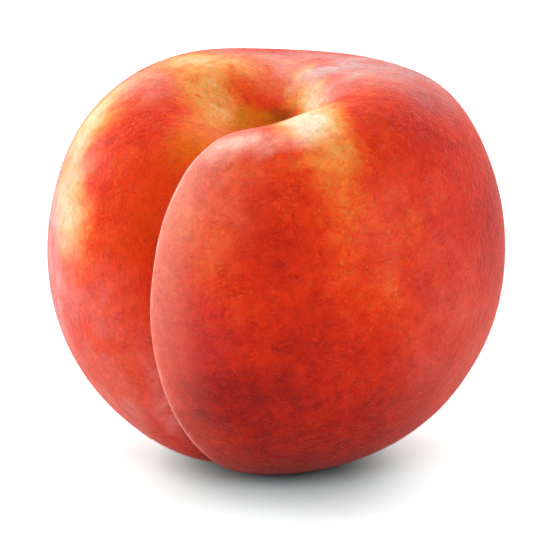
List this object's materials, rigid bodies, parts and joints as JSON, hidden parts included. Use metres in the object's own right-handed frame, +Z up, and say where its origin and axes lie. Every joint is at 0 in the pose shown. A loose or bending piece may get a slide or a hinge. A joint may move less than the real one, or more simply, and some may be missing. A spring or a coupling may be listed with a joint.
{
  "type": "peach",
  "caption": "Whole ripe peach: a round downy fruit with a deep seam between its cheeks and a funnel-shaped stem basin, resting on a small flat spot.",
  "frame": {"origin": "on the surface that the fruit rests on, under the middle of its box", "axes": "+Z up from the flat spot; -Y towards the front, where the seam runs down; +X to the right seen from the front"},
  "size_m": [0.074, 0.0722, 0.0652],
  "materials": {
    "downy_skin": "matte fruit skin under a short pale down, red with cream and orange-yellow patches"
  },
  "bodies": {
    "root": {"peach": "downy_skin"}
  },
  "joints": []
}
